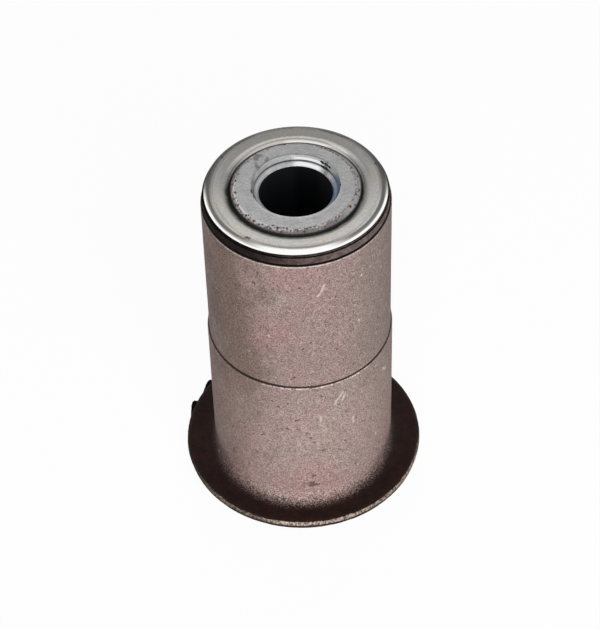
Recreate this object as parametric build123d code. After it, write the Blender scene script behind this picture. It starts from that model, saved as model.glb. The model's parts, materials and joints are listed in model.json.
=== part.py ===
from build123d import *
import math
import os

# Flanged rubber-metal pivot bush, in millimetres, standing on its flanged end.
#
# A thick steel tube takes the pivot bolt. Rubber is moulded and bonded between the tube and a flanged
# steel sleeve. A stamped washer is pressed on the tube over the rubber at the end away from the
# flange, and stops the sleeve from walking along the tube.
#
# +Z is the bush's axis. The origin is the centre of the tube's lower end face, on which it stands.

os.makedirs("parts", exist_ok=True)

# ---- Inner tube -------------------------------------------------------------------------------------
bore_diameter = 16.2            # clears an M16 pivot bolt
tube_past_flange = 3.9          # tube below the flange's underside
tube_past_sleeve = 3.9          # tube above the sleeve's free end
tube_edge_width = 1.1           # outer edge bevel, across the end face
tube_edge_height = 1.0          # outer edge bevel, along the tube
mouth_bevel_width = 0.6         # steep turned bevel at the bore's mouth, across the end face
mouth_bevel_height = 1.0
mouth_step = 0.3                # small turned step between the bevel and the rounded throat
throat_width = 1.05             # rounded throat from the step down to the bore
throat_height = 0.75
throat_corner = 0.43            # from the bore to where the throat's end slopes meet

# ---- Outer sleeve -----------------------------------------------------------------------------------
sleeve_length = 81.6            # flange underside to the free end
press_diameter = 42.0           # turned upper part, pressed into the eye first
shoulder_step = 0.4             # the lower part, left unturned, stands out by this much all round
shoulder_height = 42.4          # flange underside to the step
shoulder_edge = 0.2             # broken corner of the step
sleeve_wall = 2.0               # at the turned upper part
sleeve_edge = 0.3               # broken outer corner of the free end
sleeve_mouth_bevel = 4.0        # inside, opposite the flange's fillet, so that the wall stays even
flange_reach = 7.0              # how far the flange stands out of the shoulder
flange_thickness = 2.3
flange_fillet = 3.5             # outside, between the shoulder and the flange
rim_round_width = 1.3           # rounded upper corner of the flange's rim
rim_round_height = 1.25
rim_draft = 0.25                # the rim's lower corner stands in by this much

# ---- End washer -------------------------------------------------------------------------------------
washer_setback = 0.85           # from the press diameter, so that the washer passes the eye
washer_thickness = 1.0
washer_below_tube_end = 0.4     # the tube stands proud, so that it takes the clamping load
washer_outer_roll = 2.0         # width of the punched roll at the outer edge
washer_inner_roll = 1.8         # width of the punched roll at the hole
washer_most_roll = 0.4          # of the washer's width, the most that either roll may take
washer_land = 0.12              # square land left in the hole, which grips the tube

# ---- Rubber -----------------------------------------------------------------------------------------
rubber_wall = 4.5               # bonded layer between the tube and the sleeve
end_ring_setback = 0.05         # from the press diameter, so that the end ring passes the eye
end_ring_edge = 0.25
end_ring_foot_width = 0.4       # undercut where the end ring leaves the sleeve's end
end_ring_foot_height = 0.45
cushion_setback = 2.8           # from the flange's rim, where the cushion leaves the flange
cushion_draft = 0.8
cushion_round = 1.1
cushion_above_tube_end = 0.5    # the tube stands proud of the cushion
relief_width = 4.6              # annular relief groove in the cushion, beside the tube
relief_depth = 1.2
relief_land = 1.6               # rubber left between the tube and the groove

# Torn mould flash at the flange's rim: place round the axis in degrees, outline radius, reach past the rim
flash_tabs = ((158.5, 4.0, 0.65), (143.5, 3.0, 0.45))
flash_thickness = 0.4           # below the flange's underside
flash_climb = 1.1               # how far it has climbed the rim

# Facets in each small turned or rolled rounding
rounding_facets = 3

# ---- What follows from them -------------------------------------------------------------------------
bore_radius = bore_diameter / 2
press_radius = press_diameter / 2
shoulder_radius = press_radius + shoulder_step
flange_radius = shoulder_radius + flange_reach
sleeve_bore_radius = press_radius - sleeve_wall
tube_radius = sleeve_bore_radius - rubber_wall
washer_radius = press_radius - washer_setback
cushion_radius = flange_radius - cushion_setback

flange_underside = tube_past_flange
flange_top = flange_underside + flange_thickness
step_level = flange_underside + shoulder_height
sleeve_top = flange_underside + sleeve_length
tube_length = tube_past_flange + sleeve_length + tube_past_sleeve
washer_top = tube_length - washer_below_tube_end
washer_underside = washer_top - washer_thickness
cushion_underside = cushion_above_tube_end


def rounded(start, corner, end):
    """Points from start to end on the parabola that is tangent to both sides of the corner."""
    points = []
    for step in range(rounding_facets + 1):
        t = step / rounding_facets
        weights = ((1 - t) ** 2, 2 * t * (1 - t), t**2)
        points.append(
            tuple(
                weights[0] * a + weights[1] * b + weights[2] * c
                for a, b, c in zip(start, corner, end)
            )
        )
    return points


def turned(*points):
    """Turn a closed profile of (radius, height) points about the Z axis."""
    return revolve(Plane.XZ * make_face(Polyline(*points, close=True)), Axis.Z)


def make_inner_tube():
    """Turned steel tube: square end faces, bevelled outer edges, and a bevel, step and rounded throat."""
    mouth_radius = bore_radius + throat_width
    step_depth = mouth_bevel_height + mouth_step

    def end_profile(face, inward):
        """Points from the bore, over one end face, to the tube's outside. inward is +1 or -1 along Z."""
        step_height = face + inward * step_depth
        return [
            *rounded(
                (bore_radius, step_height + inward * throat_height),
                (bore_radius + throat_corner, step_height),
                (mouth_radius, step_height),
            ),
            (mouth_radius, face + inward * mouth_bevel_height),
            (mouth_radius + mouth_bevel_width, face),
            (tube_radius - tube_edge_width, face),
            (tube_radius, face + inward * tube_edge_height),
        ]

    return turned(*end_profile(tube_length, -1), *reversed(end_profile(0, 1)))


def make_outer_sleeve():
    """Flanged sleeve: one wall, stepped outside at mid height, bevelled inside at the flanged mouth."""
    blank = turned(
        (sleeve_bore_radius, sleeve_top),
        (press_radius - sleeve_edge, sleeve_top),
        (press_radius, sleeve_top - sleeve_edge),
        (press_radius, step_level),
        (shoulder_radius - shoulder_edge, step_level),
        (shoulder_radius, step_level - shoulder_edge),
        (shoulder_radius, flange_top),
        *rounded(
            (flange_radius - rim_round_width, flange_top),
            (flange_radius, flange_top),
            (flange_radius, flange_top - rim_round_height),
        ),
        (flange_radius - rim_draft, flange_underside),
        (sleeve_bore_radius + sleeve_mouth_bevel, flange_underside),
        (sleeve_bore_radius, flange_underside + sleeve_mouth_bevel),
    )

    root = blank.edges().sort_by_distance((shoulder_radius, 0, flange_top))[0]
    return fillet(root, flange_fillet)


def make_end_washer():
    """Stamped washer, a press fit on the tube. The punch has rolled both of its upper edges."""
    most_roll = washer_most_roll * (washer_radius - tube_radius)
    return turned(
        (tube_radius, washer_underside),
        *rounded(
            (tube_radius, washer_underside + washer_land),
            (tube_radius, washer_top),
            (tube_radius + min(washer_inner_roll, most_roll), washer_top),
        ),
        *rounded(
            (washer_radius - min(washer_outer_roll, most_roll), washer_top),
            (washer_radius, washer_top),
            (washer_radius, washer_underside),
        ),
    )


def make_rubber(sleeve):
    """Rubber moulding: end ring, the bonded layer inside the sleeve, cushion and torn flash."""
    end_ring_radius = press_radius - end_ring_setback
    cushion_foot_radius = cushion_radius - cushion_draft
    relief_inner = tube_radius + relief_land
    relief_outer = relief_inner + relief_width
    relief_middle = (relief_inner + relief_outer) / 2

    rubber = turned(
        (tube_radius, washer_underside),
        (end_ring_radius - end_ring_edge, washer_underside),
        (end_ring_radius, washer_underside - end_ring_edge),
        (end_ring_radius, sleeve_top + end_ring_foot_height),
        (end_ring_radius - end_ring_foot_width, sleeve_top),
        (sleeve_bore_radius, sleeve_top),
        (sleeve_bore_radius, flange_underside + sleeve_mouth_bevel),
        (sleeve_bore_radius + sleeve_mouth_bevel, flange_underside),
        (cushion_radius, flange_underside),
        *rounded(
            (cushion_foot_radius, cushion_underside + cushion_round),
            (cushion_foot_radius, cushion_underside),
            (cushion_foot_radius - cushion_round, cushion_underside),
        ),
        *rounded(
            (relief_outer, cushion_underside),
            (relief_middle, cushion_underside + 2 * relief_depth),
            (relief_inner, cushion_underside),
        ),
        (tube_radius, cushion_underside),
    )

    flash_floor = flange_underside - flash_thickness
    flash_height = flash_thickness + flash_climb
    for place, outline_radius, reach in flash_tabs:
        middle_distance = flange_radius + reach - outline_radius
        turn = math.radians(place)
        middle = (middle_distance * math.cos(turn), middle_distance * math.sin(turn), flash_floor)
        tab = Pos(*middle) * Cylinder(
            outline_radius, flash_height, align=(Align.CENTER, Align.CENTER, Align.MIN)
        )
        rubber += tab - sleeve
    return rubber


outer_sleeve = make_outer_sleeve()
nodes = {
    "inner_tube": make_inner_tube(),
    "outer_sleeve": outer_sleeve,
    "end_washer": make_end_washer(),
    "rubber_body": make_rubber(outer_sleeve),
}
for name, solid in nodes.items():
    export_step(solid, f"parts/{name}.step")
    print(f"{name}: {len(solid.solids())} solid, volume {solid.volume:.1f}")
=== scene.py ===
import json
import math
import bmesh
import bpy
import numpy as np
from mathutils import Matrix, Vector


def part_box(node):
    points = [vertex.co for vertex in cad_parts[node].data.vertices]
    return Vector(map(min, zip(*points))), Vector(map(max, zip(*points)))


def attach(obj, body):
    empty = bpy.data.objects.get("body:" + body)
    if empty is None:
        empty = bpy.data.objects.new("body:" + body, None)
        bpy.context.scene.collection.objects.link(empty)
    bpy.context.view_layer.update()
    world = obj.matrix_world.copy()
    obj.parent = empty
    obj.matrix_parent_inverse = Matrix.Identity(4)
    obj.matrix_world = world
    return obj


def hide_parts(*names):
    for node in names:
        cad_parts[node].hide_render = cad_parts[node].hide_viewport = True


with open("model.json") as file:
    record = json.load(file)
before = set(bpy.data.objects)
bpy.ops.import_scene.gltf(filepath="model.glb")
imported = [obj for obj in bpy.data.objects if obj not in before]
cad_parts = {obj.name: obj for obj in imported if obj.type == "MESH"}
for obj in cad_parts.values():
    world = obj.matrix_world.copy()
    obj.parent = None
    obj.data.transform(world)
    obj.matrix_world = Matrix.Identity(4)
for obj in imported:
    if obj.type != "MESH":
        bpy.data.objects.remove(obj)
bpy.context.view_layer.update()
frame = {"record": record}

# ---- Inner tube -----------------------------------------------------------------------------------------
# Thick steel tube, turned square at both ends, that the pivot bolt is clamped through. A bevel, a small
# step and a rounded throat lead the bolt into the bore, which is painted near black as painted shade. The
# faces are bare turned steel, and the bevelled outer edge has rusted a little.
MM = 0.001
DEGREE = math.radians(1.0)
mounts = {mount["name"]: mount for mount in frame["record"]["mounts"]}
_, tube_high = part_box("inner_tube")
tube_radius = tube_high.x / MM
tube_length = tube_high.z / MM
bore_radius = mounts["bore"]["dims"]["r_mm"]
throat_width = 1.05
throat_height = 0.75
throat_corner = 0.43
step_radius = bore_radius + throat_width
mouth_step = 0.3
mouth_bevel_height = 1.0
mouth_bevel_width = 0.6
mouth_lip_width = 0.6
mouth_lip_height = 0.025
tube_edge_width = 1.1
tube_edge_height = 1.0
tube_pit_depth = 0.075
tube_segments = 840
ring_sharp_angle = math.radians(40)


def straights(*path):
    """Evenly spaced (radius, height) points along straight runs: point, count, point, count ... point.

    Each count of points starts at the point before it and stops short of the next one.
    """
    runs = zip(path[0:-2:2], path[1::2], path[2::2])
    return np.vstack([np.linspace(start, end, count, endpoint=False) for start, count, end in runs])


def bend(start, corner, end, count):
    """Points from start towards end on the parabola whose end tangents meet at the corner.

    They stand at (1 - t)^2 start + 2t(1 - t) corner + t^2 end, for t in even steps from 0 and short of 1.
    """
    t = np.linspace(0, 1, count, endpoint=False)[:, None]
    return (1 - t) ** 2 * np.array(start) + 2 * t * (1 - t) * np.array(corner) + t**2 * np.array(end)


def uneven(seed, rows, segments, row_cells, round_cells):
    """Smooth random heights from -1 to 1 on a ring's grid of rows by segments.

    Random values stand on a coarse grid that closes on itself both ways. Each point takes the mean of the
    four values round it, weighted by 3t^2 - 2t^3 of its place between them.
    """
    values = np.random.default_rng(seed).uniform(-1, 1, (row_cells, round_cells))

    def places(points, cells):
        """For each point in a row of them: its cell, the next cell, and the weight of the next cell."""
        place = np.arange(points) * cells / points
        cell = place.astype(int)
        part = place - cell
        return cell, (cell + 1) % cells, part**2 * (3 - 2 * part)

    row, next_row, down = places(rows, row_cells)
    cell, next_cell, onward = places(segments, round_cells)
    across = values[:, cell] * (1 - onward) + values[:, next_cell] * onward
    return across[row] * (1 - down)[:, None] + across[next_row] * down[:, None]


def ring_angles(segments):
    """Angles of a whole turn in even steps, from the +Y side."""
    return np.linspace(0, 2 * np.pi, segments, endpoint=False) + np.pi / 2


def turned(section, angles):
    """Points in metres at (radius cos a, radius sin a, height), from radius and height in mm at angles a."""
    radius = section[..., 0]
    points = np.stack([radius * np.cos(angles), radius * np.sin(angles), section[..., 1]], axis=-1)
    return points.reshape(-1, 3) * MM


def add_object(name, data):
    """A new object in the scene that holds a mesh, a lamp or a camera."""
    holder = bpy.data.objects.new(name, data)
    bpy.context.scene.collection.objects.link(holder)
    return holder


def ring_surface(name, profile, segments, push=0.0, shift=0.0):
    """Closed ring turned about the bush's axis from (radius, height) points in mm, listed anticlockwise.

    Each point is first moved in mm by push along the profile's outward normal and by shift along its radius.
    """
    along = np.roll(profile, -1, axis=0) - np.roll(profile, 1, axis=0)
    outward = np.stack([along[:, 1], -along[:, 0]], axis=1)
    outward /= np.linalg.norm(outward, axis=1, keepdims=True)
    push = np.broadcast_to(push, (len(profile), segments))
    section = profile[:, None, :] + outward[:, None, :] * push[..., None]
    section[..., 0] += shift
    index = np.arange(push.size).reshape(push.shape)
    onward = np.roll(index, -1, axis=1)
    quads = np.stack([index, onward, np.roll(onward, -1, axis=0), np.roll(index, -1, axis=0)], axis=-1)
    mesh = bpy.data.meshes.new(name)
    mesh.from_pydata(turned(section, ring_angles(segments)), (), quads.reshape(-1, 4), shade_flat=False)
    mesh.set_sharp_from_angle(angle=ring_sharp_angle)
    return add_object(name, mesh)


def tube_end(face, inward):
    """Profile points over one end face, from the bore to the tube's outside. inward is +1 or -1 along Z."""
    bevel_foot = face + inward * mouth_bevel_height
    ledge = bevel_foot + inward * mouth_step
    lip_top = step_radius + mouth_bevel_width
    lip_foot = lip_top + mouth_lip_width
    flat = face + inward * mouth_lip_height
    edge_foot = (tube_radius, face + inward * tube_edge_height)
    return np.vstack([
        bend((bore_radius, ledge + inward * throat_height), (bore_radius + throat_corner, ledge),
             (step_radius, ledge), 14),
        straights((step_radius, ledge), 3, (step_radius, bevel_foot), 7, (lip_top, face)),
        bend((lip_top, face), (lip_foot - mouth_lip_width / 2, flat), (lip_foot, flat), 4),
        straights((lip_foot, flat), 10, (tube_radius - tube_edge_width, flat), 12, edge_foot),
        [edge_foot],
    ])


upper_end = tube_end(tube_length, -1)
lower_end = tube_end(0.0, 1)
tube_profile = np.vstack([
    lower_end,
    straights(lower_end[-1], 5, upper_end[-1])[1:],
    upper_end[::-1],
    straights(upper_end[0], 9, lower_end[0])[1:],
])
tube_rows = len(tube_profile)
pitting = np.minimum(uneven(11, tube_rows, tube_segments, tube_rows // 2, 210), 0.0)
pitting += 0.5 * uneven(12, tube_rows, tube_segments, tube_rows // 3, 60)
# The pits are at full depth on the middle of the bevel, and fade out just past its inner edge.
edge_distance = np.abs(tube_profile[:, 0] - (tube_radius - tube_edge_width / 2)) / tube_edge_width
pitted_rows = np.clip(1.6 - 2.2 * edge_distance, 0, 1) * (tube_profile[:, 0] < tube_radius)
pit_depths = tube_pit_depth * pitted_rows[:, None] * np.minimum(pitting, 0.0)
inner_tube = ring_surface("turned_tube", tube_profile, tube_segments, pit_depths)
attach(inner_tube, "root")
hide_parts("inner_tube")


class Output:
    """A node's output: a number, colour or place that varies over a surface.

    Arithmetic on outputs and plain numbers adds Math nodes to the same tree.
    """

    def __init__(self, socket):
        self.socket = socket

    def __add__(self, other):
        return maths("ADD", self, other)

    def __sub__(self, other):
        return maths("SUBTRACT", self, other)

    def __rsub__(self, other):
        return maths("SUBTRACT", other, self)

    def __mul__(self, other):
        return maths("MULTIPLY", self, other)

    def __truediv__(self, other):
        return maths("DIVIDE", self, other)

    def __rtruediv__(self, other):
        return maths("DIVIDE", other, self)


def fill(node, inputs):
    """Links each named or numbered input of a node to its output, or gives it its plain value."""
    for name, value in inputs.items():
        if isinstance(value, Output):
            node.id_data.links.new(value.socket, node.inputs[name])
        else:
            node.inputs[name].default_value = value


def add_node(kind, inputs, result=0, **settings):
    """Adds a shader node to the tree of the outputs among its inputs, and gives one of its own outputs."""
    linked = [value for value in inputs.values() if isinstance(value, Output)]
    node = linked[0].socket.id_data.nodes.new("ShaderNode" + kind)
    for setting, value in settings.items():
        setattr(node, setting, value)
    fill(node, inputs)
    return Output(node.outputs[result])


def outputs_of(output):
    """All the outputs of the node that an output belongs to, in order."""
    return [Output(socket) for socket in output.socket.node.outputs]


def maths(operation, first, second=0.0):
    """The result of one Math node on two outputs or numbers."""
    return add_node("Math", {0: first, 1: second}, operation=operation)


def clamped(output):
    """The result of a Math node, held to 0...1."""
    output.socket.node.use_clamp = True
    return output


def highest(first, *others):
    """The highest of several amounts at each place."""
    for other in others:
        first = maths("MAXIMUM", first, other)
    return first


def smooth(value, start, end):
    """Goes smoothly from 0 to 1 as a value goes from start to end, whichever is the higher."""
    return add_node(
        "MapRange", {"Value": value, "From Min": start, "From Max": end}, interpolation_type="SMOOTHSTEP"
    )


def mix(share, first, second, blend="MIX"):
    """Colour that goes from first to second as share goes from 0 to 1. A plain one is (red, green, blue)."""
    first, second = ((*colour, 1) if isinstance(colour, tuple) else colour for colour in (first, second))
    return add_node("Mix", {0: share, 6: first, 7: second}, 2, data_type="RGBA", blend_type=blend)


def shader_group(inputs, outputs):
    """Makes a function of outputs a node group of its name, built once and placed wherever it is called.

    inputs and outputs hold the names and kinds of the group's sockets, in the function's order.
    """
    def build(work):
        group = bpy.data.node_groups.new(work.__name__, "ShaderNodeTree")
        for side, sockets in (("INPUT", inputs), ("OUTPUT", outputs)):
            for name, kind in sockets.items():
                group.interface.new_socket(name, in_out=side, socket_type="NodeSocket" + kind)
        given = group.nodes.new("NodeGroupInput").outputs
        made = work(*(Output(given[name]) for name in inputs))
        results = made if isinstance(made, tuple) else (made,)
        fill(group.nodes.new("NodeGroupOutput"), dict(zip(outputs, results)))

        def place(*values):
            placed = outputs_of(add_node("Group", dict(zip(inputs, values)), node_tree=group))
            return placed if len(placed) > 1 else placed[0]

        return place

    return build


@shader_group(
    {"Object": "Vector"}, {"Millimetres": "Vector", "Radius": "Float", "Height": "Float", "Round": "Float"}
)
def places_on_bush(place):
    """Object coordinates as places on the bush: mm, radius, height, and degrees round from the -Y side."""
    mm = add_node("VectorMath", {0: place, 3: 1 / MM}, operation="SCALE")
    x, y, height = outputs_of(add_node("SeparateXYZ", {0: mm}))
    flat = add_node("CombineXYZ", {"X": x, "Y": y})
    radius = add_node("VectorMath", {0: flat}, "Value", operation="LENGTH")
    return mm, radius, height, maths("ARCTAN2", x, y * -1.0) / DEGREE


@shader_group({"Value": "Float", "Low": "Float", "High": "Float", "Fade": "Float"}, {"Mask": "Float"})
def between(value, low, high, fade):
    """Mask that is 1 where a value lies between two limits, and fades over a width centred on each."""
    half = fade * 0.5
    return smooth(value, low - half, low + half) * (1.0 - smooth(value, high - half, high + half))


@shader_group({"Millimetres": "Vector", "Size": "Float", "Contrast": "Float"}, {"Tone": "Float"})
def grain(mm, size, contrast):
    """Uneven tone round 0.5 at one size in mm, pushed away from 0.5 by the contrast."""
    noise = add_node("TexNoise", {"Vector": mm, "Scale": 1.0 / size, "Detail": 3.0, "Roughness": 0.6})
    return clamped((noise - 0.5) * contrast + 0.5)


@shader_group(
    {"Millimetres": "Vector", "Spacing": "Float", "Size": "Float", "Share": "Float"}, {"Mask": "Float"}
)
def specks(mm, spacing, size, share):
    """Scattered spots of a size in mm, one to a cell of the given spacing, in a share of the cells."""
    distance, cell_colour = outputs_of(add_node("TexVoronoi", {"Vector": mm, "Scale": 1.0 / spacing}))[:2]
    red, green, _ = outputs_of(add_node("SeparateColor", {0: cell_colour}))
    reach = size / spacing * (green + 0.3)
    return smooth(distance, reach, reach * 0.4) * maths("LESS_THAN", red, share)


@shader_group(
    {"Millimetres": "Vector", "Across": "Float", "Spacing": "Float", "Length": "Float"}, {"Tone": "Float"}
)
def rings(mm, across, spacing, length):
    """Fine lines round the axis, as a tool or a punch leaves them, with a tone round 0.5.

    It is noise at (x / length, y / length, across / spacing), so that the lines break along their length.
    """
    flat = add_node("VectorMath", {0: mm, 1: (1, 1, 0)}, operation="MULTIPLY")
    flat = add_node("VectorMath", {0: flat, 3: 1.0 / length}, operation="SCALE")
    lines = add_node("CombineXYZ", {"Z": across / spacing})
    place = add_node("VectorMath", {0: flat, 1: lines}, operation="ADD")
    return add_node("TexNoise", {"Vector": place, "Scale": 1.0, "Detail": 2.0})


@shader_group(
    {"Millimetres": "Vector", "Start": "Vector", "Run": "Vector", "Nearest": "Float"}, {"Nearest": "Float"}
)
def nearer_mark(mm, start, run, nearest):
    """The lesser of a given distance in mm and the distance from a straight mark with a start and a run.

    The nearest place on the mark is start + run * t, where t is (place - start).run / run.run in 0...1.
    """
    def dot(first, second):
        return add_node("VectorMath", {0: first, 1: second}, "Value", operation="DOT_PRODUCT")

    from_start = add_node("VectorMath", {0: mm, 1: start}, operation="SUBTRACT")
    share = clamped(dot(from_start, run) / dot(run, run))
    on_mark = add_node("VectorMath", {0: run, 3: share}, operation="SCALE")
    return maths("MINIMUM", nearest,
                 add_node("VectorMath", {0: from_start, 1: on_mark}, "Value", operation="DISTANCE"))


def round_place(degrees, radius, height):
    """Place in mm at so many degrees round from the -Y side, positive towards +X."""
    turn = degrees * DEGREE
    return radius * math.sin(turn), -radius * math.cos(turn), height


no_limit = 99.0          # in mm, past every part of the bush


def strokes(mm, ragged, width, marks):
    """Mask of several marks: 1 on them and 0 a ragged width away.

    Each mark is straight, between a pair of (degrees, radius, height) places.
    """
    nearest = no_limit
    for start, end in marks:
        run = np.subtract(round_place(*end), round_place(*start))
        nearest = nearer_mark(mm, round_place(*start), run, nearest)
    return smooth(nearest / width + ragged - 0.5, 1.0, 0.4)


def face_marks(face, *marks):
    """Marks on or below a level face, each with degrees, radius and depth at its start and at its end."""
    return [
        ((turn, radius, face - depth), (end_turn, end_radius, face - end_depth))
        for turn, radius, depth, end_turn, end_radius, end_depth in marks
    ]


def bump(relief, strength, depth):
    """The normal of a surface with a relief of a depth in mm."""
    return add_node("Bump", {"Height": relief, "Strength": strength, "Distance": depth * MM})


def start_material(name):
    """A new material, its Principled shader, and the bush's mm, radius, height and degrees round."""
    material = bpy.data.materials.new(name)
    material.use_nodes = True
    nodes = material.node_tree.nodes
    coordinates = nodes.new("ShaderNodeTexCoord")
    return material, nodes["Principled BSDF"], places_on_bush(Output(coordinates.outputs["Object"]))


tube_smudges = face_marks(
    tube_length, (-140, 12.9, 0, -143, 12.3, 0), (-138, 12.6, 0, -135, 12.2, 0),
    (-130, 11.4, 0, -127, 10.4, 0), (-146, 10.7, 0, -143, 10.3, 0),
)
tube_arc_scratch = face_marks(
    tube_length, (-142, 10.1, 0, -128, 9.85, 0), (-128, 9.85, 0, -112, 9.75, 0),
    (-112, 9.75, 0, -94, 9.75, 0),
)
mouth_dents = face_marks(
    tube_length, (-84, 9.75, 0, -79, 9.7, 0), (-72, 9.65, 0, -70, 9.6, 0), (88, 9.7, 0, 92, 9.6, 0),
)
mouth_oil = face_marks(tube_length, (143, 9.5, 0.35, 126, 9.5, 0.35), (141, 9.15, 1.1, 128, 9.15, 1.1))
mouth_smear = face_marks(tube_length, (134, 9.7, 0, 132, 9.2, 1.0), (133, 9.2, 1.0, 128, 8.4, 1.7))


def make_turned_steel():
    """Grey turned steel: faint tool rings, mottle, smudges, a rusty pitted outer edge, and painted black
    shade in the bore.

    The bore's mouth is dulled by oxide and blued at the right. It has a painted highlight at the back, with
    the upper bevel greyer there, and painted shade on the step's wall.
    """
    material, shader, (mm, radius, _, turn) = start_material("turned_steel")
    mottle = grain(mm, 2.2, 3.0)
    fine = grain(mm, 0.45, 2.6)
    tool_lines = rings(mm, radius, 0.16, 9.0)
    colour = mix(mottle, (0.50, 0.50, 0.505), (0.645, 0.635, 0.635))
    colour = mix(fine * 0.35, colour, (0.40, 0.39, 0.385))
    colour = mix(tool_lines * 0.25, colour, (0.72, 0.72, 0.74))

    # The bore's mouth: oxide, a painted highlight at the back, painted shade on the step's wall, the blued
    # part, and the marks there and on the face.
    mouth = between(radius, bore_radius + 0.05, step_radius + mouth_bevel_width, 0.3)
    blued = mouth * between(turn, 58.0, 108.0, 24.0)
    # A painted highlight at the back of the mouth, where the steel would reflect light; oxide covers the
    # rest.
    mouth_highlight = smooth(maths("COSINE", (turn - 160.0) * DEGREE), 0.90, 0.97)
    oxide = mouth * (1.0 - mouth_highlight)
    colour = mix(oxide * 0.85, colour, mix(mottle, (0.33, 0.33, 0.335), (0.52, 0.52, 0.525)))
    colour = mix(mouth * mouth_highlight * 0.9, colour, (0.90, 0.90, 0.91))
    # The painted highlight is greyer on the upper bevel.
    upper_bevel = between(radius, step_radius + 0.34, step_radius + 0.64, 0.1) * mouth_highlight
    colour = mix(upper_bevel * 0.7, colour, (0.34, 0.34, 0.345))
    # Painted shade on the step's wall in the mouth.
    step_wall_shade = between(radius, step_radius - 0.05, step_radius + 0.03, 0.05)
    colour = mix(step_wall_shade * 0.8, colour, (0.06, 0.06, 0.062))
    colour = mix(blued * 0.8, colour, (0.18, 0.25, 0.37))
    smudge = strokes(mm, mottle, 0.6, tube_smudges)
    scratch = strokes(mm, fine, 0.14, tube_arc_scratch)
    dents = strokes(mm, fine, 0.30, mouth_dents)
    oil = strokes(mm, fine, 0.34, mouth_oil)
    smear = strokes(mm, mottle, 0.6, mouth_smear)
    colour = mix(smudge * 0.6, colour, (0.14, 0.15, 0.135))
    colour = mix(scratch * 0.6, colour, (0.17, 0.16, 0.16))
    colour = mix(smear * 0.6, colour, (0.16, 0.16, 0.155))
    colour = mix(highest(dents, oil), colour, (0.012, 0.011, 0.012))

    # The rusted bevel with its pits and glints, grime and painted shade in the corner by the washer, and the
    # bore painted near black as painted shade.
    rust_radius = radius + (mottle - 0.5) * 0.4 + maths("SINE", turn * DEGREE) * 0.45
    edge = between(rust_radius, tube_radius - tube_edge_width - 0.05, no_limit, 0.3)
    rust = mix(fine, (0.095, 0.089, 0.086), (0.23, 0.22, 0.218))
    rusted = 1.0 - between(turn, 48.0, 140.0, 30.0) * 0.55
    colour = mix(edge * rusted, colour, rust)
    rust_line = edge * between(rust_radius, -no_limit, tube_radius - 0.72, 0.25)
    crumbs = mix(grain(mm, 0.5, 6.0), (0.060, 0.038, 0.032), (0.62, 0.55, 0.52))
    colour = mix(rust_line * 0.85, colour, crumbs)
    pit_band = between(radius, tube_radius - 1.45, tube_radius - 0.35, 0.5)
    pits = specks(mm, 0.75, 0.42, 0.5) * pit_band
    colour = mix(pits, colour, (0.035, 0.018, 0.016))
    glints = specks(mm, 0.8, 0.26, 0.2) * pit_band
    colour = mix(glints, colour, (0.62, 0.57, 0.54))
    # Grime and painted shade in the corner by the washer, across the front and the sides.
    corner_grime_and_shade = between(radius, tube_radius - 0.3, no_limit, 0.3) * between(turn, -104.0, 104.0, 36.0)
    colour = mix(corner_grime_and_shade, colour, (0.012, 0.012, 0.011))
    # The bore is painted near black: painted shade.
    bore = between(radius, -1.0, bore_radius + 0.03, 0.04)
    colour = mix(bore, colour, (0.020, 0.022, 0.026))

    dull = highest(clamped(edge - glints) * 0.75, dents, oxide * 0.4)
    relief = tool_lines * 0.5 + fine * 0.5 - highest(pits, dents) * 2.0
    fill(shader, {
        "Base Color": colour,
        "Metallic": 1.0 - dull,
        "Roughness": clamped(fine * 0.12 + 0.16 + oxide * 0.2 + edge * 0.35 + bore * 0.5),
        "Normal": bump(relief, 0.3, 0.05),
    })
    return material


inner_tube.data.materials.append(make_turned_steel())

# ---- Outer sleeve ---------------------------------------------------------------------------------------
# Drawn steel sleeve with a flange. Its upper half is turned down by 0.4 mm to the press size, which leaves
# a step. The wall has a matt pinkish brown phosphate coat with knocks and scuffs. The flange's face has a
# dark film of bonding agent and painted shade, fading up the fillet, and its rim has worn through to pale
# metal, with a painted highlight in front.
sleeve_low, sleeve_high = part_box("outer_sleeve")
sleeve_top = sleeve_high.z / MM
flange_underside = sleeve_low.z / MM
flange_radius = sleeve_high.x / MM
flange_top = mounts["flange_seat"]["pos_m"][2] / MM
press_seat = mounts["press_seat"]
press_radius = press_seat["dims"]["r_mm"]
shoulder_radius = mounts["shoulder_seat"]["dims"]["r_mm"]
step_level = press_seat["pos_m"][2] / MM - press_seat["dims"]["length_mm"] / 2
sleeve_wall = 2.0
sleeve_mouth_bevel = 4.0
sleeve_edge = 0.3
shoulder_edge = 0.2
flange_fillet = 3.5
rim_round_width = 1.3
rim_round_height = 1.25
rim_draft = 0.25
rim_knock_depth = 0.05
rim_dent_depth = 0.06
rim_knock_fade = 0.8
wall_waviness = 0.012
sleeve_bore_radius = press_radius - sleeve_wall
sleeve_segments = 660
hair = 0.01              # in mm, less than any step in a profile


def arc(centre, radius, start, end, count):
    """Points on a circle round (radius, height), from one angle in degrees towards another."""
    turn = np.radians(np.linspace(start, end, count, endpoint=False))
    return np.array(centre) + radius * np.stack([np.cos(turn), np.sin(turn)], axis=1)


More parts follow.
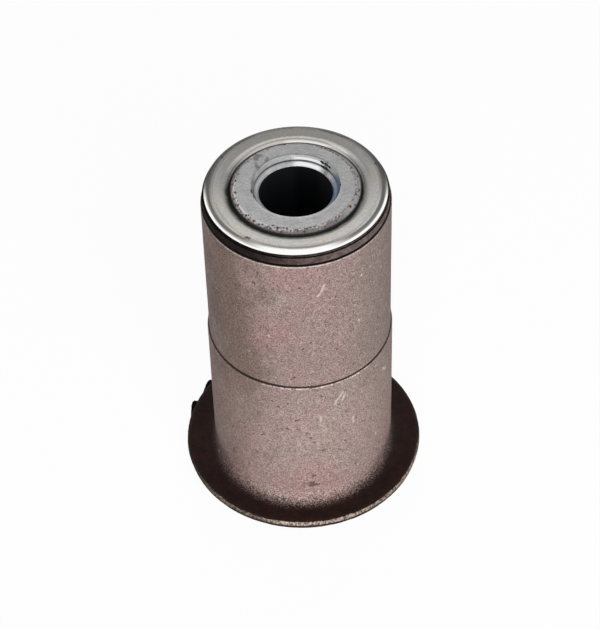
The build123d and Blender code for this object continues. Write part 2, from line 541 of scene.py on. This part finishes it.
mouth_head = (sleeve_bore_radius, flange_underside + sleeve_mouth_bevel)
mouth_foot = (sleeve_bore_radius + sleeve_mouth_bevel, flange_underside)
rim_foot = (flange_radius, flange_top - rim_round_height)
rim_top = (flange_radius - rim_round_width, flange_top)
fillet_foot = (shoulder_radius + flange_fillet, flange_top)
fillet_centre = (shoulder_radius + flange_fillet, flange_top + flange_fillet)
sleeve_profile = np.vstack([
    straights(mouth_head, 2, mouth_foot, 12, (flange_radius - rim_draft, flange_underside), 8, rim_foot),
    bend(rim_foot, (flange_radius, flange_top), rim_top, 12),
    straights(rim_top, 6, fillet_foot),
    arc(fillet_centre, flange_fillet, 270, 180, 18),
    straights(
        (shoulder_radius, flange_top + flange_fillet), 34,
        (shoulder_radius, step_level - shoulder_edge), 3, (shoulder_radius - shoulder_edge, step_level), 3,
        (press_radius, step_level), 34,
        (press_radius, sleeve_top - sleeve_edge), 4, (press_radius - sleeve_edge, sleeve_top), 3,
        (sleeve_bore_radius, sleeve_top), 4, mouth_head,
    ),
])
sleeve_grid = (len(sleeve_profile), sleeve_segments)
on_rim = np.clip((sleeve_profile[:, 0] - rim_top[0]) / rim_knock_fade, 0, 1)[:, None]
on_outside = (sleeve_profile[:, 0] > press_radius - hair)[:, None]
knocks = rim_knock_depth * uneven(21, *sleeve_grid, 40, 240)
knocks += rim_dent_depth * uneven(22, *sleeve_grid, 30, 70)
sleeve_push = on_rim * np.minimum(knocks, 0.0)
sleeve_push += on_outside * wall_waviness * uneven(23, *sleeve_grid, 24, 30)
outer_sleeve = ring_surface("flanged_sleeve", sleeve_profile, sleeve_segments, sleeve_push)
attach(outer_sleeve, "root")
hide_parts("outer_sleeve")


def wall_marks(*marks):
    """Marks on the sleeve's wall, each with degrees and height at its start and at its end."""
    def on_wall(degrees, height):
        return degrees, press_radius if height > step_level else shoulder_radius, height

    return [(on_wall(*mark[:2]), on_wall(*mark[2:])) for mark in marks]


pale_scratches = wall_marks(
    (21.5, 40.3, 25.8, 42.3), (25.2, 39.7, 27.0, 41.4), (20.6, 39.2, 21.4, 40.4), (32.7, 32.2, 33.0, 30.2),
    (11.0, 35.9, 11.1, 34.4), (61.0, 40.2, 65.0, 38.4), (11.0, 75.8, 12.6, 76.5), (13.4, 77.0, 15.0, 78.9),
)
faint_scratches = wall_marks(
    (5.0, 30.9, 10.6, 30.4), (10.6, 30.4, 15.6, 31.2), (10.6, 33.3, 15.6, 31.2), (8.4, 71.0, 10.2, 71.6),
    (-44.5, 37.2, -42.0, 35.2), (-41.0, 37.9, -39.6, 37.0), (-26.5, 24.2, -25.8, 22.4),
)
pale_knocks = wall_marks(
    (38.4, 63.4, 38.6, 63.2), (40.6, 77.2, 40.8, 77.0), (59.6, 74.1, 59.8, 74.0),
    (-19.5, 62.8, -19.2, 62.6), (52.3, 44.0, 52.6, 43.9), (65.2, 39.1, 65.5, 39.0), (52.9, 20.2, 53.0, 19.4),
)
dark_pits = wall_marks(
    (-4.3, 35.3, -3.4, 35.3), (-3.4, 35.3, -1.9, 35.7), (-3.4, 32.1, -2.4, 32.0), (4.6, 29.0, 4.7, 28.8),
    (-18.9, 41.3, -18.7, 41.2), (-15.0, 39.5, -14.6, 39.6), (-26.9, 28.0, -26.4, 28.1),
    (-30.7, 21.0, -30.6, 20.8), (-50.3, 15.9, -49.6, 15.7), (-27.7, 78.6, -27.3, 78.5),
)
pink_smears = wall_marks((-9.0, 81.2, 3.0, 84.6), (-21.5, 61.0, -16.0, 63.5), (-12.0, 12.0, 14.0, 12.0))
red_marks = wall_marks(
    (3.4, 11.8, 7.6, 11.7), (3.8, 12.3, 5.6, 12.6), (-0.6, 12.4, -0.2, 12.2), (5.4, 15.3, 5.7, 14.8),
)
flange_knocks = (((-71.2, 22.0, 8.3), (-70.4, 22.0, 8.3)),)


def make_phosphated_steel():
    """Matt phosphate coat: pinkish, greyish and brown patches, coarse grain, scratches, worn edges with
    painted highlights.

    A dark film of bonding agent with painted shade covers the flange and fades up the fillet, higher at the
    sides and the back. The left is darker, partly a stain and partly painted shade.
    """
    material, shader, (mm, radius, height, turn) = start_material("phosphated_steel")
    broad = grain(mm, 11.0, 4.0)
    patches = grain(mm, 3.0, 4.0)
    fine = grain(mm, 0.6, 5.0)
    finest = grain(mm, 0.3, 6.0)

    # The coat itself, a little lighter below the step, with its stains and its grain. It is darker brown at
    # the left, partly a stain and partly painted shade, and greyer at the right.
    colour = mix(broad * 0.85 + patches * 0.15, (0.390, 0.301, 0.273), (0.414, 0.287, 0.270))
    lower = add_node("MapRange", {"Value": height, "From Min": 50.0, "From Max": 34.0})
    colour = mix(lower, colour, mix(1.0, colour, (1.18, 1.17, 1.165), "MULTIPLY"))
    # Darker brown at the left: partly a stain, partly painted shade on that side.
    side_turn = turn + (broad - 0.5) * 20.0
    brown = between(side_turn, -62.0, -30.0, 26.0) * (0.85 - lower * 0.45)
    colour = mix(brown, colour, (0.242, 0.166, 0.138))
    right_grey = between(side_turn, 40.0, 95.0, 24.0) * (0.6 - lower * 0.5)
    colour = mix(right_grey, colour, (0.345, 0.275, 0.245))
    blush = strokes(mm, 0.5, 5.5, pink_smears) * 0.36
    colour = mix(blush, colour, (0.47, 0.27, 0.262))
    grains = fine * 0.32 + finest * 0.68
    grain_tone = mix(grains, (0.60, 0.55, 0.54), (1.40, 1.465, 1.48))
    colour = mix(1.0, colour, grain_tone, "MULTIPLY")
    cloud_tone = mix(grain(mm, 1.8, 4.0), (0.94, 0.935, 0.935), (1.06, 1.065, 1.065))
    colour = mix(1.0, colour, cloud_tone, "MULTIPLY")

    # Pale specks, knocks and scratches, dark pits, and the red marks above the flange.
    pale = highest(
        specks(mm, 1.7, 0.34, 0.22) * 0.6, strokes(mm, finest, 0.30, pale_knocks),
        strokes(mm, finest, 0.30, pale_scratches) * 0.9, strokes(mm, finest, 0.22, faint_scratches) * 0.4,
    )
    colour = mix(pale, colour, (0.78, 0.68, 0.64))
    dark = highest(specks(mm, 1.9, 0.36, 0.4) * 0.75, strokes(mm, finest, 0.30, dark_pits))
    colour = mix(dark, colour, (0.06, 0.036, 0.034))
    red = strokes(mm, fine, 0.62, red_marks)
    colour = mix(red * 0.7, colour, (0.11, 0.052, 0.046))

    # Painted shade on the step's ledge, a painted highlight with some wear on its corner and on the free
    # end's edge, and painted shade on the free end's face under the rubber.
    ledge_top = between(turn, -99.0, -12.0, 24.0) * 0.22 + (step_level + 0.36)
    ledge = between(height, step_level - 0.04, ledge_top, 0.14)
    ledge = ledge * between(radius, 0.0, shoulder_radius - 0.12, 0.06)
    colour = mix(ledge * 0.95, colour, (0.022, 0.013, 0.011))
    # Painted highlight, with some wear, on the step's corner in front.
    corner = between(height, step_level - 0.3, step_level - 0.02, 0.1)
    corner = corner * between(radius, shoulder_radius - 0.19, no_limit, 0.06)
    corner = corner * between(turn, -25.0, 45.0, 20.0) * clamped(fine * 1.2 - 0.1)
    end_edge = between(height, sleeve_top - 0.44, sleeve_top - 0.16, 0.1)
    end_edge = end_edge * between(radius, press_radius - 0.2, no_limit, 0.1)
    # Painted highlight with some wear on the free end's edge, strongest in front.
    end_highlight_and_wear = clamped(between(turn, -14.0, 14.0, 24.0) + between(turn, -58.0, 52.0, 24.0) * 0.6)
    end_highlight_and_wear = end_highlight_and_wear * clamped(fine * 0.9 + 0.3)
    highlight_and_wear = highest(corner, end_edge * end_highlight_and_wear)
    colour = mix(highlight_and_wear, colour, (0.90, 0.77, 0.73))
    # Painted shade on the free end's face, in the crevice under the rubber ring.
    end_face_shade = between(height, sleeve_top - 0.2, sleeve_top + 1.0, 0.08)
    end_face_shade = end_face_shade * between(radius, 0.0, press_radius - 0.12, 0.08)
    colour = mix(end_face_shade, colour, (0.010, 0.007, 0.006))

    # The dark film of bonding agent and painted shade on the flange, by how far a place is from the flange's
    # face up the fillet.
    in_front = highest(maths("COSINE", turn * DEGREE), 0.0)
    film_and_shade_top = 12.2 - in_front * 6.3
    streaked = add_node("VectorMath", {0: mm, 1: (1.0, 1.0, 4.0)}, operation="MULTIPLY")
    climb = height + shoulder_radius - radius
    climb = climb + (grain(streaked, 2.2, 3.0) - 0.5) * 0.5 + (grains - 0.5) * 1.6
    film_and_shade = between(climb - film_and_shade_top, -no_limit, 0.0, film_and_shade_top - 0.2)
    film_and_shade_colour = mix(patches, (0.0075, 0.0036, 0.0032), (0.019, 0.0066, 0.0050))
    film_and_shade_colour = mix(grains * 0.35, film_and_shade_colour, (0.030, 0.0145, 0.0115))
    colour = mix(film_and_shade, colour, film_and_shade_colour)
    chips = strokes(mm, finest, 0.34, flange_knocks)
    colour = mix(chips * 0.8, colour, (0.62, 0.53, 0.50))

    # The flange's rim, worn to bare metal with a painted highlight in front, and dull at the sides.
    rim_height = height + (grain(mm, 0.9, 3.0) - 0.5) * 0.14
    worn = between(rim_height, flange_top - 1.2, flange_top - 0.36, 0.2)
    worn = worn * between(radius, flange_radius - 0.9, no_limit, 0.1) * between(turn, -60.0, 78.0, 30.0)
    # Painted highlight on the front of the rim.
    rim_highlight = between(turn, -18.0, 28.0, 14.0)
    rim_tone = grain(mm, 0.5, 6.0)
    dull_rim = mix(rim_tone, (0.045, 0.034, 0.026), (0.31, 0.265, 0.205))
    right_rim = mix(rim_tone, (0.12, 0.092, 0.070), (0.48, 0.41, 0.32))
    rim_highlight_colour = mix(rim_tone, (0.15, 0.105, 0.084), (0.74, 0.60, 0.51))
    worn_colour = mix(between(turn, 24.0, 120.0, 24.0), dull_rim, right_rim)
    colour = mix(worn, colour, mix(rim_highlight, worn_colour, rim_highlight_colour))

    bare = highest(highest(worn * rim_highlight, highlight_and_wear) * 0.5, pale * 0.3)
    fill(shader, {
        "Base Color": colour,
        "Metallic": bare,
        "Roughness": fine * 0.15 + 0.58 - bare * 0.3,
        "Specular IOR Level": 0.15,
        "Normal": bump(grains, 0.8, 0.09),
    })
    return material


outer_sleeve.data.materials.append(make_phosphated_steel())

# ---- Rubber ---------------------------------------------------------------------------------------------
# One moulding, bonded to the tube and the sleeve: an end ring that covers the sleeve's free end, the
# layer between the steels, and a cushion under the flange with a relief groove. Two scraps of flash from
# the mould are left at the flange's rim.
rubber_low, rubber_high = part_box("rubber_body")
rubber_top = rubber_high.z / MM
cushion_underside = rubber_low.z / MM
washer_low, washer_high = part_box("end_washer")
washer_radius = washer_high.x / MM
end_ring_setback = 0.05
end_ring_radius = press_radius - end_ring_setback
end_ring_edge = 0.25
end_ring_foot_width = 0.4
end_ring_foot_height = 0.45
end_ring_off_centre = 0.375
end_ring_inside = 19.4
cushion_setback = 2.8
cushion_radius = flange_radius - cushion_setback
cushion_draft = 0.8
cushion_foot_radius = cushion_radius - cushion_draft
cushion_round = 1.1
relief_land = 1.6
relief_inner = tube_radius + relief_land
relief_width = 4.6
relief_outer = relief_inner + relief_width
relief_depth = 1.2
gutter_land = 0.38
gutter_outer = end_ring_radius - gutter_land
gutter_under_washer = 0.1
gutter_inner = washer_radius - gutter_under_washer
gutter_depth = 0.5

groove_inside = (relief_inner, cushion_underside)
groove_top = ((relief_inner + relief_outer) / 2, cushion_underside + 2 * relief_depth)
groove_outside = (relief_outer, cushion_underside)
round_foot = (cushion_foot_radius - cushion_round, cushion_underside)
round_head = (cushion_foot_radius, cushion_underside + cushion_round)
gutter_floor = ((gutter_outer + gutter_inner) / 2, rubber_top - gutter_depth)
rubber_profile = np.vstack([
    straights((tube_radius, cushion_underside), 4, groove_inside),
    bend(groove_inside, groove_top, groove_outside, 16),
    straights(groove_outside, 6, round_foot),
    bend(round_foot, (cushion_foot_radius, cushion_underside), round_head, 10),
    straights(
        round_head, 6, (cushion_radius, flange_underside), 3, mouth_foot, 3, mouth_head, 6,
        (sleeve_bore_radius, sleeve_top), 3, (end_ring_radius - end_ring_foot_width, sleeve_top), 5,
        (end_ring_radius, sleeve_top + end_ring_foot_height), 10,
        (end_ring_radius, rubber_top - end_ring_edge), 3, (end_ring_radius - end_ring_edge, rubber_top), 2,
        (gutter_outer, rubber_top),
    ),
    bend((gutter_outer, rubber_top), (gutter_outer, rubber_top - gutter_depth), gutter_floor, 4),
    bend(gutter_floor, (gutter_inner, rubber_top - gutter_depth), (gutter_inner, rubber_top), 4),
    straights((gutter_inner, rubber_top), 5, (tube_radius, rubber_top), 8, (tube_radius, cushion_underside)),
])
ring_share = np.clip((rubber_profile[:, 0] - end_ring_inside) / (end_ring_radius - end_ring_inside), 0, 1)
ring_share *= rubber_profile[:, 1] > sleeve_top - hair
off_centre = -end_ring_off_centre * (1 + np.sin(ring_angles(sleeve_segments)))
rubber_body = ring_surface(
    "moulded_rubber", rubber_profile, sleeve_segments, shift=ring_share[:, None] * off_centre
)
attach(rubber_body, "root")
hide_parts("rubber_body")

flash_steps = 49
flash_reach = 1.05
flash_below_flange = 0.4
flash_least_height = 0.3
flash_climb = 1.3
flash_tear = 0.15
flash_low_taper = 0.12
flash_high_taper = 0.08
flash_overlap = 0.02
flash_sharp_angle = math.radians(50)


def flash_tab(name, start, peak, end):
    """Scrap of mould flash hooked over the flange's rim from start to end, in degrees, tallest at the peak.

    It stands out by flash_reach * sin(pi/2 * s), where s is the lesser of its shares of the way from either
    end to the peak, and is torn unevenly. Its section has five corners, and its inner face lies on the rim.
    """
    place = np.linspace(start, end, flash_steps)
    share = np.minimum((place - start) / (peak - start), (end - place) / (end - peak))
    torn = 1 - flash_tear * np.abs(uneven(31, 1, flash_steps, 1, 9)[0])
    share = np.sin(np.pi / 2 * np.clip(share, 0, 1)) * torn
    outer = flange_radius + flash_reach * share
    low = flange_underside - flash_below_flange * share
    high = flange_underside + flash_least_height + flash_climb * share
    inner = np.full_like(outer, flange_radius - rim_draft - flash_overlap)
    section = np.stack([
        np.stack([inner, low], axis=-1),
        np.stack([outer - flash_low_taper * share, low], axis=-1),
        np.stack([outer, (2 * low + high) / 3], axis=-1),
        np.stack([outer - flash_high_taper * share, high], axis=-1),
        np.stack([np.minimum(flange_radius - flash_overlap, outer), high], axis=-1),
    ])
    index = np.arange(section[..., 0].size).reshape(-1, flash_steps)
    below = np.roll(index, -1, axis=0)
    quads = np.stack([index[:, :-1], index[:, 1:], below[:, 1:], below[:, :-1]], axis=-1)
    mesh = bpy.data.meshes.new(name)
    mesh.from_pydata(turned(section, np.radians(place)), (), quads.reshape(-1, 4), shade_flat=False)
    ends = bmesh.new()
    ends.from_mesh(mesh)
    bmesh.ops.holes_fill(ends, edges=ends.edges)
    bmesh.ops.recalc_face_normals(ends, faces=ends.faces)
    ends.to_mesh(mesh)
    ends.free()
    mesh.set_sharp_from_angle(angle=flash_sharp_angle)
    piece = add_object(name, mesh)
    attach(piece, "root")
    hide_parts("rubber_body")
    return piece


flash_pieces = (
    flash_tab("mould_flash_large", 154.5, 158.0, 166.5),
    flash_tab("mould_flash_small", 139.0, 142.5, 151.5),
)


def make_black_rubber():
    """Dull moulded rubber: brownish with dust and painted light on the end ring's wall, and black elsewhere,
    as painted shade in the gutter and crevices.
    """
    material, shader, (mm, radius, height, turn) = start_material("black_rubber")
    mottle = grain(mm, 1.4, 3.5)
    fine = grain(mm, 0.4, 3.5)
    colour = mix(mottle, (0.080, 0.053, 0.050), (0.182, 0.136, 0.124))
    colour = mix(1.0, colour, mix(fine, (0.72, 0.70, 0.70), (1.25, 1.27, 1.27)), "MULTIPLY")
    dust = specks(mm, 1.0, 0.32, 0.25)
    colour = mix(dust * 0.6, colour, (0.42, 0.38, 0.37))
    # Only the end ring's wall is brown. A painted sheen makes it a little paler at the right, and the rest
    # is painted near black, as painted shade in the gutter and crevices.
    painted_sheen = between(turn, 18.0, 130.0, 30.0)
    colour = mix(painted_sheen * 0.12, colour, (0.42, 0.37, 0.36))
    wall_foot = sleeve_top + end_ring_foot_height + 0.2
    on_ring = between(height, wall_foot, rubber_top - 0.14, 0.14)
    on_ring = on_ring * between(radius, end_ring_radius - 1.0, no_limit, 0.1)
    # Dust and painted light on the ring's wall, strongest at the front and right; near black elsewhere.
    dust_and_painted_light = on_ring * (between(turn, -8.0, 130.0, 52.0) * 0.88 + 0.12)
    colour = mix(dust_and_painted_light, (0.004, 0.003, 0.003), colour)
    fill(shader, {
        "Base Color": colour,
        "Roughness": fine * 0.2 + 0.8 - dust_and_painted_light * 0.2,
        "Specular IOR Level": 0.06,
        "Normal": bump(fine, 0.4, 0.05),
    })
    return material


black_rubber = make_black_rubber()
for rubber_piece in (rubber_body, *flash_pieces):
    rubber_piece.data.materials.append(black_rubber)

# ---- End washer -----------------------------------------------------------------------------------------
# Stamped from 1 mm steel sheet and pressed on the tube over the rubber. The punch rolled both upper edges
# over and left a scored ring inside the outer one. The face is satin, and grime and painted shade lie round
# the tube.
washer_top = washer_high.z / MM
washer_underside = washer_low.z / MM
washer_outer_roll = 2.2
washer_curl = 1.0
washer_inner_roll = 1.8
washer_edge_land = 0.16
washer_edge_lift = 0.12
washer_dome = 0.07
washer_land = 0.12

roll_foot = washer_underside + washer_edge_lift + washer_edge_land
roll_start = (washer_radius - washer_outer_roll, washer_top - washer_dome)
roll_drop = roll_start[1] - roll_foot
roll_radius = (washer_outer_roll**2 + roll_drop**2) / (2 * roll_drop)
roll_turn = math.degrees(2 * math.atan(roll_drop / washer_outer_roll))
edge_foot = (washer_radius, washer_underside + washer_edge_lift)
hole_head = (tube_radius, washer_underside + washer_land)
flat_end = (tube_radius + washer_inner_roll, washer_top)
curl_start = (washer_radius - washer_outer_roll, washer_underside)
washer_profile = np.vstack([
    straights((tube_radius, washer_underside), 6, curl_start),
    bend(curl_start, (washer_radius - washer_curl, washer_underside), edge_foot, 8),
    straights(edge_foot, 3, (washer_radius, roll_foot)),
    arc((roll_start[0], roll_start[1] - roll_radius), roll_radius, 90 - roll_turn, 90, 32),
    straights(roll_start, 16, flat_end),
    bend(flat_end, (tube_radius, washer_top), hole_head, 22),
    straights(hole_head, 2, (tube_radius, washer_underside)),
])
end_washer = ring_surface("stamped_washer", washer_profile, sleeve_segments)
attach(end_washer, "root")
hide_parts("end_washer")

rim_scuffs = face_marks(
    washer_top, (112, 19.3, 0.3, 110, 18.8, 0.2), (-152, 19.35, 0.35, -137, 19.35, 0.35),
    (-134, 19.4, 0.35, -127, 19.4, 0.35), (-124, 19.6, 0.4, -122, 19.0, 0.25),
    (-179, 19.4, 0.35, -173, 19.4, 0.35), (163, 19.3, 0.3, 142, 19.3, 0.3),
    (-36, 18.6, 0.1, -34, 18.45, 0.1),
)
face_scratches = face_marks(
    washer_top, (88, 17.0, 0, 93, 17.8, 0), (60, 16.9, 0, 66, 17.6, 0), (-12, 16.6, 0, -8, 17.1, 0),
    (-70, 16.8, 0, -66, 17.5, 0),
)


def make_bright_steel():
    """Satin stamped sheet: warm grey mottle, fine rings, a polished rolled rim with painted highlight and
    shade, grime and painted shade by the tube.
    """
    material, shader, (mm, radius, height, turn) = start_material("bright_steel")
    mottle = grain(mm, 3.4, 3.0)
    fine = grain(mm, 0.45, 2.6)
    fine_rings = rings(mm, radius - height, 0.22, 12.0)
    colour = mix(grain(mm, 8.0, 4.0), (0.62, 0.625, 0.62), (0.67, 0.62, 0.565))
    colour = mix(mottle * 0.2, colour, (0.45, 0.43, 0.40))
    colour = mix(fine * 0.3, colour, (0.46, 0.44, 0.41))

    # The rolled outer edge: polished with a painted highlight in front, tarnish and painted shade elsewhere,
    # painted shade at the back, with lines and scuffs.
    ragged_radius = radius + (fine_rings - 0.5) * 0.7
    roll_inside = between(ragged_radius, washer_radius - 1.3, washer_radius - 0.56, 0.3)
    roll_edge = between(ragged_radius, washer_radius - 0.56, no_limit, 0.3)
    # Painted highlight on the polished rolled edge, only in front.
    polish_and_highlight = clamped(
        roll_inside * between(turn, -31.0, 30.0, 26.0) + roll_edge * between(turn, -92.0, 88.0, 24.0)
    )
    colour = mix(polish_and_highlight, colour, (0.985, 0.98, 0.965))
    # Tarnish and painted shade on the rest of the rolled edge.
    tarnish_and_shade = clamped(roll_inside + roll_edge - polish_and_highlight)
    colour = mix(tarnish_and_shade * 0.85, colour, mix(fine_rings, (0.02, 0.022, 0.02), (0.34, 0.335, 0.32)))
    # Painted shade on the back of the rolled edge.
    back_edge_shade = 1.0 - between(turn, -96.0, 96.0, 24.0)
    back_edge_shade = back_edge_shade * between(ragged_radius, washer_radius - 0.75, no_limit, 0.5)
    colour = mix(back_edge_shade * 0.85, colour, (0.04, 0.04, 0.038))
    thin_lines = between(radius, washer_radius - 0.44, washer_radius - 0.36, 0.05)
    thin_lines = thin_lines + between(radius, washer_radius - 0.66, washer_radius - 0.58, 0.05)
    thin_lines = thin_lines * between(turn, -64.0, -27.0, 14.0)
    colour = mix(thin_lines * 0.75, colour, (0.16, 0.155, 0.15))
    near_rim = between(radius, washer_radius - 2.4, washer_radius - 1.0, 0.5)
    ring_lines = between(fine_rings, 0.60, 9.0, 0.08) * near_rim
    colour = mix(ring_lines * 0.35, colour, (0.22, 0.21, 0.20))
    score = between(radius, washer_radius - 1.86, washer_radius - 1.74, 0.08)
    score = score * between(turn, -66.0, 66.0, 30.0)
    colour = mix(score * 0.6, colour, (0.12, 0.115, 0.11))
    scuffs = strokes(mm, fine, 0.42, rim_scuffs) * 0.9
    colour = mix(scuffs, colour, (0.035, 0.03, 0.03))
    scratch = strokes(mm, fine, 0.12, face_scratches)
    colour = mix(scratch * 0.5, colour, (0.85, 0.82, 0.78))

    # Grime and painted shade round the tube, reaching furthest in front, a wider painted shade beside it,
    # and a painted glint on the roll at the hole.
    front = maths("COSINE", turn * DEGREE)
    left = between(turn, -96.0, -48.0, 34.0)
    beside = between(maths("ABSOLUTE", turn), 92.0, 130.0, 32.0)
    ragged_groove_radius = radius + (mottle - 0.5) * 0.35
    grime_and_shade_reach = front * 0.92 + left * 0.42 + (tube_radius + 0.48)
    shade_reach = grime_and_shade_reach + (beside * 0.8 + 0.6)
    shade = between(ragged_groove_radius - shade_reach, -no_limit, 0.0, 2.2) * (beside * 0.4 + 0.25)
    colour = mix(shade, colour, (0.10, 0.11, 0.105))
    # Grime and painted shade in the groove round the tube.
    grime_and_shade = between(ragged_groove_radius - grime_and_shade_reach, -no_limit, 0.0, 1.0) * clamped(front * 2.0 + 1.9)
    colour = mix(grime_and_shade, colour, (0.022, 0.025, 0.020))
    dash = between(turn, 131.0, 150.0, 8.0) * between(radius, 15.1, 15.6, 0.2)
    bright_line = 1.0 - between(turn, -172.0, 150.0, 8.0)
    bright_line = bright_line * between(radius, tube_radius + 0.05, tube_radius + 0.5, 0.2)
    roll_glint = highest(dash, bright_line)
    colour = mix(roll_glint * 0.65, colour, (0.98, 0.95, 0.93))

    fill(shader, {
        "Base Color": colour,
        "Metallic": 1.0 - scuffs,
        "Roughness": fine * 0.1 + 0.15 - polish_and_highlight * 0.07 + tarnish_and_shade * 0.15 + grime_and_shade * 0.3,
        "Normal": bump(fine * 0.4 + fine_rings * 0.6, 0.15, 0.04),
    })
    return material


end_washer.data.materials.append(make_bright_steel())

# ---- Floor and backdrop ---------------------------------------------------------------------------------
# One white sweep that the bush stands on: a flat floor that curves up into a low wall all round. It is a
# ring as well, with a pinhole under the middle of the bore.
floor_hole = 0.5
floor_reach = 2400.0
floor_thickness = 20.0
wall_height = 650.0
sweep_bend = 500.0
sweep_segments = 96
wall_back = floor_reach + floor_thickness
sweep_profile = np.vstack([
    straights((floor_hole, 0.0), 12, (floor_reach - sweep_bend, 0.0)),
    bend((floor_reach - sweep_bend, 0.0), (floor_reach, 0.0), (floor_reach, sweep_bend), 12),
    straights((floor_reach, sweep_bend), 2, (floor_reach, wall_height)),
    [(floor_reach, wall_height), (wall_back, wall_height), (wall_back, -floor_thickness),
     (floor_hole, -floor_thickness)],
])
studio_sweep = ring_surface("studio_sweep", sweep_profile[::-1], sweep_segments)


def seen_by(tree, *kinds):
    """1 for rays of the given kinds, such as Camera, and otherwise 0."""
    path = tree.nodes.new("ShaderNodeLightPath").outputs
    return highest(*(Output(path[f"Is {kind} Ray"]) for kind in kinds))


def make_sweep_white():
    """Light grey for the lamps' light, lifted to white for what looks at it. A faint shadow is kept.

    The floor under the bore isn't lifted, because hardly any light reaches it there.
    """
    material, shader, (_, radius, _, _) = start_material("sweep_white")
    tree = material.node_tree
    under_bore = bore_radius + 0.5
    seen = seen_by(tree, "Camera", "Glossy", "Transmission") * maths("GREATER_THAN", radius, under_bore)
    fill(shader, {
        "Base Color": mix(seen, (0.3, 0.3, 0.3), (1, 1, 1)),
        "Roughness": 0.9,
        "Specular IOR Level": 0.0,
    })
    white = tree.nodes.new("ShaderNodeEmission")
    fill(white, {"Color": (1, 1, 1, 1), "Strength": 1.0})
    lifted = add_node(
        "MixShader", {0: seen * 0.95, 1: Output(shader.outputs[0]), 2: Output(white.outputs[0])}
    )
    fill(tree.nodes["Material Output"], {"Surface": lifted})
    return material


studio_sweep.data.materials.append(make_sweep_white())

# ---- Lamps ----------------------------------------------------------------------------------------------
# A soft lamp in front and a little to the right, a weaker one low behind, and an even grey surround. What
# gloss sees of the surround is a white studio with a dark opening behind, and a pale panel in that opening.
bush_middle = (0, 0, tube_length * MM / 2)


def soft_lamp(name, size, place, watts):
    """Square area lamp of a side in metres that shines at the bush's middle. Gloss doesn't see it."""
    lamp = bpy.data.lights.new(name, "AREA")
    lamp.shape = "SQUARE"
    lamp.size = size
    lamp.energy = watts
    holder = add_object(name, lamp)
    towards = Vector(bush_middle) - Vector(place)
    holder.matrix_world = Matrix.Translation(place) @ towards.to_track_quat("-Z", "Y").to_matrix().to_4x4()
    holder.visible_glossy = False


soft_lamp("front_lamp", 0.85, (0.142, -0.895, 0.68), 13.2)
soft_lamp("back_lamp", 0.85, (0.0, 1.0, 0.32), 4.5)

surround_grey = 0.12
opening_grey = 0.28
# How far up a direction points, from 0 to 1, and the panel's grey there.
panel_steps = ((0.0, 0.22), (0.56, 0.40), (0.615, 0.40), (0.65, 0.25), (0.675, 0.26), (0.700, 0.88),
               (0.735, 0.97), (0.77, 1.0), (0.83, 1.0), (0.87, 0.46), (0.93, 0.38), (0.985, 0.95))
world = bpy.data.worlds.new("studio")
bpy.context.scene.world = world
world.use_nodes = True
surround = world.node_tree
looked_at = Output(surround.nodes.new("ShaderNodeTexCoord").outputs["Generated"])
to_right, to_back, upward = outputs_of(add_node("SeparateXYZ", {0: looked_at}))
behind = add_node("ValToRGB", {0: upward})
ramp = behind.socket.node.color_ramp
ramp.interpolation = "EASE"
ramp.elements[0].color = (panel_steps[0][1],) * 3 + (1,)
ramp.elements[1].color = (1, 1, 1, 1)
for stop, grey in panel_steps[1:]:
    ramp.elements.new(stop).color = (grey, grey, grey, 1)
# The panel ends in the dark opening at both sides, and the opening ends in the white studio.
sideways = maths("ABSOLUTE", to_right)
studio = mix(smooth(sideways, 0.33, 0.46), behind, (opening_grey,) * 3)
studio = mix(highest(smooth(sideways, 0.50, 0.62), smooth(to_back, 0.38, 0.20)), studio, (1, 1, 1))
studio = mix(seen_by(surround, "Glossy"), (surround_grey,) * 3, studio)
studio = mix(seen_by(surround, "Camera", "Transmission"), studio, (1, 1, 1))
fill(surround.nodes["Background"], {"Color": studio})

# ---- Camera ---------------------------------------------------------------------------------------------
# Looks down at the washer's end from in front with a long lens, and is rolled a little. The lens follows
# from the focal length in the picture's own pixels.
camera_place = Vector((0.00007, -0.35654, 0.43294))
camera_down = math.radians(47.197)
camera_roll = math.radians(1.785)
picture_height = 629
focal_pixels = 2269.3
sensor_size = 36.0

ahead = Vector((0, math.cos(camera_down), -math.sin(camera_down)))
level = Vector((1, 0, 0))
below = ahead.cross(level)
across = math.cos(camera_roll) * level + math.sin(camera_roll) * below
downward = math.cos(camera_roll) * below - math.sin(camera_roll) * level
camera = bpy.data.cameras.new("camera")
camera.sensor_width = sensor_size
camera.lens = focal_pixels * sensor_size / picture_height
camera_holder = add_object("camera", camera)
facing = Matrix((across, -downward, -ahead)).transposed().to_4x4()
camera_holder.matrix_world = Matrix.Translation(camera_place) @ facing
bpy.context.scene.camera = camera_holder
bpy.context.scene.view_settings.view_transform = "Standard"
